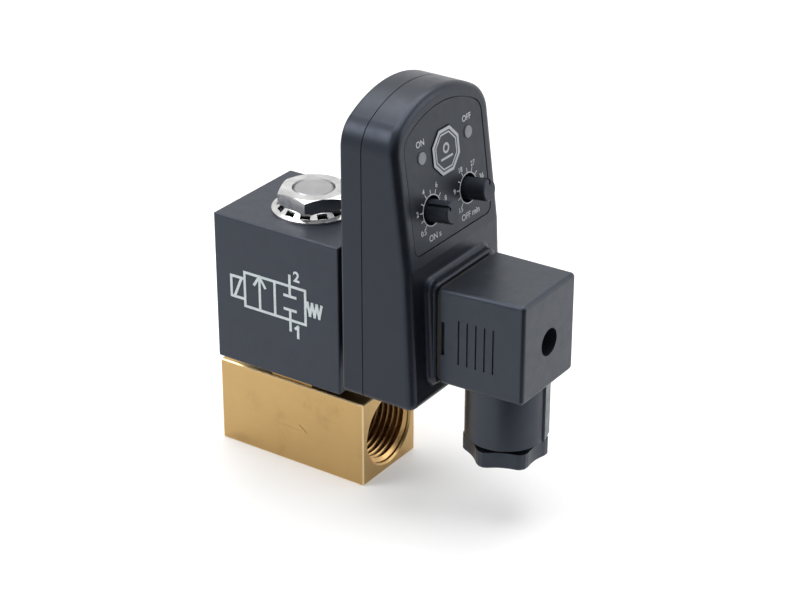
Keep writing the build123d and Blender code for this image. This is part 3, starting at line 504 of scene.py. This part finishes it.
FINISHES = {
    "brass": milled_block("milled_brass", BRASS, BRASS_DARK, 0.34, (60, 60, 2600),
                          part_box("valve_body")).material,
    "stainless": turned("turned_steel", (0.38, 0.38, 0.385), 0.36, 0.5 * MM, 0.03 * MM),
    "zinc_steel": plated("bright_plating", NICKEL, 0.16, 0.05 * MM),
    "spring_steel": plated("spring_wire", (0.5, 0.5, 0.49), 0.3),
    "yoke_steel": machined("yoke_steel", (0.28, 0.28, 0.29), (0.18, 0.17, 0.16), 0.5,
                           (900, 900, 40)).material,
    "copper_wire": winding("enamelled_wire", (0.65, 0.30, 0.14)),
    "coil_resin": moulded("coil_resin", (0.010, 0.0115, 0.016), 0.42, 0.3 * MM,
                          tint=COOL, gloss=BLACK_GLOSS),
    "timer_plastic": moulded("timer_plastic", (0.005, 0.006, 0.0095), 0.33, 0.22 * MM,
                             0.008 * MM, tint=COOL, gloss=TIMER_GLOSS),
    "plug_plastic": moulded("plug_plastic", (0.0095, 0.011, 0.0145), 0.36, 0.25 * MM,
                            0.010 * MM, tint=COOL, gloss=BLACK_GLOSS),
    "insert_plastic": moulded("insert_plastic", (0.09, 0.09, 0.095), 0.5),
    "bobbin_plastic": moulded("bobbin_plastic", (0.42, 0.36, 0.26), 0.5),
    "knob_plastic": moulded("knob_plastic", (0.006, 0.007, 0.009), 0.5, 0.18 * MM,
                            tint=COOL, gloss=BLACK_GLOSS),
    "label_film": moulded("label_film", (0.012, 0.0135, 0.0175), 0.4, 0.16 * MM,
                          0.006 * MM, 0.06, COOL, FILM_GLOSS),
    "key_plastic": moulded("key_film", (0.012, 0.0135, 0.0175), 0.38, 0.16 * MM,
                           0.006 * MM, 0.06, COOL, FILM_GLOSS),
    "lens": lens("lamp_lens", (0.235, 0.25, 0.275)),
    "board": board("solder_mask", (0.02, 0.10, 0.05)),
    "component_case": moulded("component_case", (0.03, 0.06, 0.16), 0.35),
    "can": turned("drawn_can", (0.65, 0.65, 0.66), 0.25, 0.4 * MM, 0.004 * MM),
    "tinned": plated("tin_plating", (0.66, 0.66, 0.64), 0.28),
    "seal_rubber": rubber("seal_rubber", (0.02, 0.02, 0.021)),
}
INK = printed("white_ink", (0.60, 0.66, 0.68))
KEY_INK = printed("key_ink", (0.42, 0.44, 0.47))
PALE_INK = printed("grey_ink", (0.50, 0.52, 0.55))
THREAD_BRASS = machined("threaded_brass", (0.52, 0.33, 0.14), (0.36, 0.21, 0.08), 0.3,
                        (500, 3000, 3000)).material

for part in frame["record"]["subparts"]:
    node = frame["nodes"][part["node"]]
    for holder in node.material_slots:
        holder.material = FINISHES[part["material_slot"]]


# ---------------------------------------------------------------- places from the frame
def joint(name):
    return next(row for row in frame["joints"] if row["name"] == name)


ON_JOINT, OFF_JOINT = joint("on_time_turn"), joint("off_time_turn")
PANEL_OUT = Vector(ON_JOINT["axis"])
PANEL_ACROSS = Vector((0, 1, 0))
PANEL_UP = PANEL_OUT.cross(PANEL_ACROSS)
PANEL_CENTRE = (Vector(ON_JOINT["pos_m"]) + Vector(OFF_JOINT["pos_m"])) / 2
KNOB_SPREAD = OFF_JOINT["pos_m"][1]


def outermost(node, direction, origin=Vector()):
    """How far a CAD node reaches from an origin along a direction."""
    return max((v.co - origin).dot(direction) for v in frame["nodes"][node].data.vertices)


def face_frame(origin, across, up):
    """The matrix that stands a flat drawing on a face."""
    out = across.cross(up)
    matrix = Matrix((across, up, out)).transposed().to_4x4()
    matrix.translation = origin
    return matrix


LABEL_FACE = outermost("timer_label", PANEL_OUT, PANEL_CENTRE)
KEY_FACE = outermost("test_button", PANEL_OUT, PANEL_CENTRE)
ON_LABEL = face_frame(PANEL_CENTRE + PANEL_OUT * LABEL_FACE, PANEL_ACROSS, PANEL_UP)
ON_KEY = face_frame(PANEL_CENTRE + PANEL_OUT * KEY_FACE, PANEL_ACROSS, PANEL_UP)


# ---------------------------------------------------------------- flat drawings
def lettering(words, height, across, up, weight=STROKE_WEIGHT):
    """Words or a number lying flat, centred on a point, its strokes made heavier."""
    clear()
    bpy.ops.object.text_add()
    text = bpy.context.object
    text.data.body = words
    text.data.size = height / CAP_SHARE
    text.data.align_x = text.data.align_y = "CENTER"
    text.data.extrude = PRINT_THICKNESS / 2
    text.data.offset = weight / 2
    text.data.resolution_u = LETTER_STEPS
    bpy.ops.object.convert(target="MESH")
    apply_place(text, Matrix.Translation((across, up, PRINT_THICKNESS / 2)))
    return text


def stroke(first, last, width, thickness=PRINT_THICKNESS):
    """A straight printed line between two points."""
    run = (last[0] - first[0], last[1] - first[1])
    length = hypot(*run) + width
    piece = begin("stroke", bpy.ops.mesh.primitive_plane_add, size=1.0)
    bpy.ops.transform.resize(value=(length, width, 1))
    bpy.ops.mesh.extrude_region_move(TRANSFORM_OT_translate={"value": (0, 0, thickness)})
    bpy.ops.mesh.select_all(action="SELECT")
    bpy.ops.mesh.normals_make_consistent(inside=False)
    middle = ((first[0] + last[0]) / 2, (first[1] + last[1]) / 2, 0)
    apply_place(piece, Matrix.Translation(middle)
                @ Matrix.Rotation(atan2(run[1], run[0]), 4, "Z"))
    return piece


def band(radius, width, corners, across=0.0, up=0.0, turn=0.0):
    """A printed ring or polygon outline."""
    piece = begin("band", bpy.ops.mesh.primitive_circle_add, vertices=corners,
                  radius=radius - width / 2, fill_type="NOTHING")
    grow = (radius + width / 2) / (radius - width / 2)
    bpy.ops.mesh.extrude_edges_move()
    bpy.ops.transform.resize(value=(grow, grow, 1))
    bpy.ops.mesh.select_all(action="SELECT")
    bpy.ops.mesh.extrude_region_move(
        TRANSFORM_OT_translate={"value": (0, 0, PRINT_THICKNESS)})
    bpy.ops.mesh.select_all(action="SELECT")
    bpy.ops.mesh.normals_make_consistent(inside=False)
    apply_place(piece, Matrix.Translation((across, up, 0))
                @ Matrix.Rotation(turn, 4, "Z"))
    return piece


def polar(radius, degrees, across=0.0):
    """A point on a dial; degrees run anticlockwise from straight up."""
    return across - radius * sin(radians(degrees)), radius * cos(radians(degrees))


def dial(side, numbers):
    """One knob's ring, ticks and numbers."""
    across = side * KNOB_SPREAD
    pieces = [band(DIAL_RADIUS, DIAL_LINE, RING_CORNERS, across)]
    first = DIAL_RADIUS + DIAL_LINE
    for degrees in range(-DIAL_TURNS[0], DIAL_TURNS[0] + 1, TICK_STEP):
        pieces.append(stroke(polar(first, degrees, across),
                             polar(first + TICK_LENGTH, degrees, across), DIAL_LINE))
    for degrees, number in zip(DIAL_TURNS, numbers):
        place = polar(NUMBER_RADIUS, degrees, across)
        pieces.append(lettering(number, NUMBER_HEIGHT, *place))
    return pieces


def panel_print():
    """The label's dials, words and units."""
    pieces = dial(-1, ON_NUMBERS) + dial(1, OFF_NUMBERS)
    pieces.append(lettering("ON", WORD_HEIGHT, -WORD_ACROSS, WORD_UP))
    pieces.append(lettering("OFF", WORD_HEIGHT, WORD_ACROSS, WORD_UP))
    pieces.append(lettering("ON s", UNIT_HEIGHT, -UNIT_ACROSS, UNIT_UP))
    pieces.append(lettering("OFF min", UNIT_HEIGHT, UNIT_ACROSS, UNIT_UP))
    piece = joined("panel_print", pieces)
    apply_place(piece, ON_LABEL)
    return dress(piece, "coil_unit", PALE_INK)


def key_print():
    """The key's two outlines and a press symbol: a ring over a bar."""
    low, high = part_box("test_button")
    up = ((low + high) / 2 - PANEL_CENTRE).dot(PANEL_UP)
    bar_up = up + PRESS_BAR_UP
    turn = pi / KEY_SIDES
    pieces = [band(KEY_OUTER, KEY_OUTER_LINE, KEY_SIDES, 0, up, turn),
              band(KEY_INNER, KEY_INNER_LINE, KEY_SIDES, 0, up, turn),
              band(PRESS_RING, PRESS_LINE, PRESS_RING_CORNERS, 0, up + PRESS_RING_UP),
              stroke((-PRESS_BAR_HALF, bar_up), (PRESS_BAR_HALF, bar_up), PRESS_LINE)]
    piece = joined("key_print", pieces)
    apply_place(piece, ON_KEY)
    return dress(piece, "test_key", KEY_INK)


# ---------------------------------------------------------------- coil print
def coil_symbol():
    """The plain circuit symbol of a two-way valve with a coil and a spring."""
    pieces = []

    def path(*points):
        """Lines through points, each a hair thicker than the last where they cross."""
        for first, last in zip(points, points[1:]):
            rise = PRINT_THICKNESS * (1 + CROSSING_RISE * len(pieces))
            pieces.append(stroke([SYMBOL_UNIT * c for c in first],
                                 [SYMBOL_UNIT * c for c in last], SYMBOL_LINE, rise))

    # the two boxes, and the line between them
    path((-2, -1), (2, -1), (2, 1), (-2, 1), (-2, -1))
    path((0, -1), (0, 1))
    # the open box's arrow
    path((-1, -1), (-1, 1))
    path((-1.35, 0.45), (-1, 1), (-0.65, 0.45))
    # the closed box's ports
    for side in (-1, 1):
        path((1, side * 0.4), (1, side * 1.6))
        path((0.65, side * 0.4), (1.35, side * 0.4))
    # the coil and the spring
    path((-2, -0.6), (-2.9, -0.6), (-2.9, 0.6), (-2, 0.6))
    path((-2.7, -0.6), (-2.2, 0.6))
    zigzag = ((2 + 0.15 * count, 0.35 if count % 2 else -0.35) for count in range(1, 8))
    path((2, 0), *zigzag)
    # the ports' numbers
    pieces.append(lettering("2", SYMBOL_NUMBER, SYMBOL_UNIT * 1.45, SYMBOL_UNIT * 1.62,
                            SYMBOL_NUMBER_WEIGHT))
    path((1.35, -1.4), (1.5, -1.27), (1.5, -1.9))
    piece = joined("coil_symbol", pieces)
    low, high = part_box("coil_housing")
    across, up = SYMBOL_SHIFT
    origin = Vector((across, low.y, (low.z + high.z) / 2 + up))
    apply_place(piece, face_frame(origin, Vector((1, 0, 0)), Vector((0, 0, 1))))
    return dress(piece, "coil_unit", INK)


def flow_arrow():
    """A faint raised arrow on the brass body's side, pointing the way the air flows."""
    tip = (ARROW_TIP, 0)
    back, spread = ARROW_BARB
    pieces = [stroke(start, end, ARROW_LINE, ARROW_RISE * (1 + CROSSING_RISE * count))
              for count, (start, end) in enumerate((((-ARROW_TIP, 0), tip),
                                                    (tip, (back, spread)),
                                                    (tip, (back, -spread))))]
    piece = joined("flow_arrow", pieces)
    low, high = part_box("valve_body")
    origin = Vector((0, low.y, high.z * ARROW_LEVEL))
    apply_place(piece, face_frame(origin, Vector((1, 0, 0)), Vector((0, 0, 1))))
    return dress(piece, "valve", FINISHES["brass"])


# ---------------------------------------------------------------- port threads
def port_thread(port, side):
    """The ridge of a port's pipe thread, wound from the mouth inwards."""
    half = THREAD_PITCH / 2
    piece = begin(port + "_thread", bpy.ops.mesh.primitive_plane_add, size=THREAD_PITCH,
                  rotation=(pi / 2, 0, 0))
    bpy.ops.mesh.delete(type="ONLY_FACE")
    pick_verts(piece, lambda place: place.x < 0)
    bpy.ops.transform.resize(value=(1, 1, THREAD_CREST), center_override=(-half, 0, 0))
    bpy.ops.mesh.select_all(action="SELECT")
    bpy.ops.transform.resize(value=(THREAD_DEPTH / THREAD_PITCH, 1, THREAD_ROOT))
    clear()
    middle = THREAD_MAJOR - THREAD_DEPTH / 2
    apply_place(piece, Matrix.Translation((middle, 0, 0)) @ piece.matrix_world)
    winder = wound(piece, THREAD_PITCH, THREAD_TURNS, THREAD_STEPS)
    winder.use_merge_vertices = True
    winder.merge_threshold = WELD
    apply_modifiers(piece)
    soften(piece, WOUND_ANGLE)
    low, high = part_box("valve_body")
    mount = next(row for row in frame["record"]["mounts"] if row["name"] == port)
    mouth = high.x if side > 0 else low.x
    origin = Vector((mouth - side * (THREAD_START + half), 0, mount["pos_m"][2]))
    apply_place(piece, Matrix.Translation(origin)
                @ Matrix.Rotation(-side * pi / 2, 4, "Y"))
    return dress(piece, "valve", THREAD_BRASS)


# ---------------------------------------------------------------- plunger spring
def spring():
    """The wound spring over the plunger, in place of the CAD spring, fixed with the valve
    body.
    """
    low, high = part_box("plunger_spring")
    wire = SPRING_WIRE / 2
    start = ((high.x - low.x) / 2 - wire, 0, low.z + wire)
    piece = begin("wound_spring", bpy.ops.mesh.primitive_circle_add,
                  vertices=WIRE_CORNERS, radius=wire, fill_type="NOTHING",
                  location=start, rotation=(pi / 2, 0, 0))
    clear()
    apply_place(piece, piece.matrix_world.copy())
    rise = (high.z - low.z - SPRING_WIRE) / SPRING_TURNS
    wound(piece, rise, SPRING_TURNS, SPRING_STEPS)
    apply_modifiers(piece)
    bpy.ops.object.mode_set(mode="EDIT")
    bpy.ops.mesh.select_all(action="SELECT")
    bpy.ops.mesh.fill_holes(sides=0)
    bpy.ops.mesh.select_all(action="SELECT")
    bpy.ops.mesh.normals_make_consistent(inside=False)
    soften(piece, WOUND_ANGLE)
    dress(piece, "valve", FINISHES["spring_steel"])
    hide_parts("plunger_spring")
    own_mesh(piece)


# ---------------------------------------------------------------- studio
def flagged(nodes, links, direction):
    """One all round, falling to a dark flag's level on the flag's side."""
    unit = nodes.new("ShaderNodeVectorMath")
    unit.operation = "NORMALIZE"
    links.new(direction, unit.inputs[0])
    along = nodes.new("ShaderNodeVectorMath")
    along.operation = "DOT_PRODUCT"
    along.inputs[1].default_value = FLAG_SIDE
    links.new(unit.outputs["Vector"], along.inputs[0])
    level = nodes.new("ShaderNodeMapRange")
    level.interpolation_type = "SMOOTHSTEP"
    for key, value in (("From Min", FLAG_START), ("From Max", FLAG_END), ("To Min", 1.0),
                       ("To Max", FLAG_LEVEL)):
        level.inputs[key].default_value = value
    links.new(along.outputs["Value"], level.inputs["Value"])
    return level.outputs["Result"]


def floor():
    """A pale floor that takes the shadow and can be seen through from below; in
    reflections it is painted dark on the flag's side.
    """
    piece = begin("floor", bpy.ops.mesh.primitive_plane_add, size=FLOOR_SIZE,
                  location=(0, 0, cad_box[0][2] - FLOOR_GAP))
    clear()
    recipe = Recipe("studio_floor")
    recipe.set(Roughness=1.0, Specular_IOR_Level=0.0, Emission_Color=(1, 1, 1, 1))
    nodes, links = recipe.nodes, recipe.links
    path = nodes.new("ShaderNodeLightPath")
    # painted dark reflection: to glossy rays the floor's colour and glow fall to the
    # flag's level on the flag's side
    flag = flagged(nodes, links, recipe.stretched((1, 1, 1), FLAG_CORNER))
    mirrored = combined(nodes, links, "MULTIPLY", path.outputs["Is Glossy Ray"], flag)
    seen = combined(nodes, links, "MAXIMUM", path.outputs["Is Camera Ray"],
                    path.outputs["Is Transmission Ray"], mirrored)
    distance = nodes.new("ShaderNodeVectorMath")
    distance.operation = "LENGTH"
    links.new(recipe.place, distance.inputs[0])
    # painted shade: within reach of the object the floor glows less and reads darker
    glow_and_painted_shade = recipe.spread(distance.outputs["Value"], *FLOOR_GLOW_AND_SHADE, *FLOOR_SHADE_REACH)
    links.new(combined(nodes, links, "MULTIPLY", seen, glow_and_painted_shade),
              recipe.shader.inputs["Emission Strength"])
    unmirrored = nodes.new("ShaderNodeMath")
    unmirrored.operation = "SUBTRACT"
    unmirrored.inputs[0].default_value = 1.0
    links.new(path.outputs["Is Glossy Ray"], unmirrored.inputs[1])
    shown = nodes.new("ShaderNodeVectorMath")
    shown.operation = "SCALE"
    shown.inputs[0].default_value = FLOOR_TONE
    links.new(combined(nodes, links, "MAXIMUM", unmirrored.outputs[0], flag),
              shown.inputs["Scale"])
    links.new(shown.outputs["Vector"], recipe.shader.inputs["Base Color"])
    under = nodes.new("ShaderNodeNewGeometry").outputs["Backfacing"]
    clear_below = nodes.new("ShaderNodeBsdfTransparent")
    mix = nodes.new("ShaderNodeMixShader")
    links.new(under, mix.inputs["Fac"])
    links.new(recipe.shader.outputs["BSDF"], mix.inputs[1])
    links.new(clear_below.outputs["BSDF"], mix.inputs[2])
    links.new(mix.outputs["Shader"], nodes["Material Output"].inputs["Surface"])
    piece.data.materials.append(recipe.material)


def world():
    """Even room light, and a white surround that only mirrors and the camera see."""
    sky = bpy.data.worlds.new("studio")
    bpy.context.scene.world = sky
    sky.use_nodes = True
    nodes, links = sky.node_tree.nodes, sky.node_tree.links
    nodes.clear()
    path = nodes.new("ShaderNodeLightPath")
    lit, shown = nodes.new("ShaderNodeBackground"), nodes.new("ShaderNodeBackground")
    lit.inputs["Strength"].default_value = ROOM_LIGHT
    lit.inputs["Color"].default_value = shown.inputs["Color"].default_value = (1, 1, 1, 1)
    around = nodes.new("ShaderNodeTexCoord").outputs["Generated"]
    direct = combined(nodes, links, "MAXIMUM", path.outputs["Is Camera Ray"],
                      path.outputs["Is Transmission Ray"])
    links.new(combined(nodes, links, "MAXIMUM", direct, flagged(nodes, links, around)),
              shown.inputs["Strength"])
    mix, out = nodes.new("ShaderNodeMixShader"), nodes.new("ShaderNodeOutputWorld")
    links.new(combined(nodes, links, "MAXIMUM", direct, path.outputs["Is Glossy Ray"]),
              mix.inputs["Fac"])
    links.new(lit.outputs[0], mix.inputs[1])
    links.new(shown.outputs[0], mix.inputs[2])
    links.new(mix.outputs[0], out.inputs["Surface"])


def soft_box(name, place, size, power):
    """A rectangular lamp that faces the object."""
    lamp = bpy.data.lights.new(name, "AREA")
    lamp.shape = "RECTANGLE"
    lamp.size, lamp.size_y = size
    lamp.energy = power
    holder = bpy.data.objects.new(name, lamp)
    bpy.context.scene.collection.objects.link(holder)
    holder.location = place
    facing = Vector(LAMP_AIM) - Vector(place)
    holder.rotation_euler = facing.to_track_quat("-Z", "Y").to_euler()


def camera():
    """The camera, with no depth of field and no shift."""
    data = bpy.data.cameras.new("camera")
    data.lens = LENS
    data.clip_start = NEAREST
    holder = bpy.data.objects.new("camera", data)
    bpy.context.scene.collection.objects.link(holder)
    holder.location = CAMERA_PLACE
    holder.rotation_euler = Vector(CAMERA_DIRECTION).to_track_quat("-Z", "Y").to_euler()
    bpy.context.scene.camera = holder


camera()
world()
floor()
for lamp_row in LAMPS:
    soft_box(*lamp_row)
bpy.context.scene.view_settings.view_transform = "Standard"

panel_print()
key_print()
coil_symbol()
flow_arrow()
port_thread("inlet_port", -1)
port_thread("outlet_port", 1)
spring()
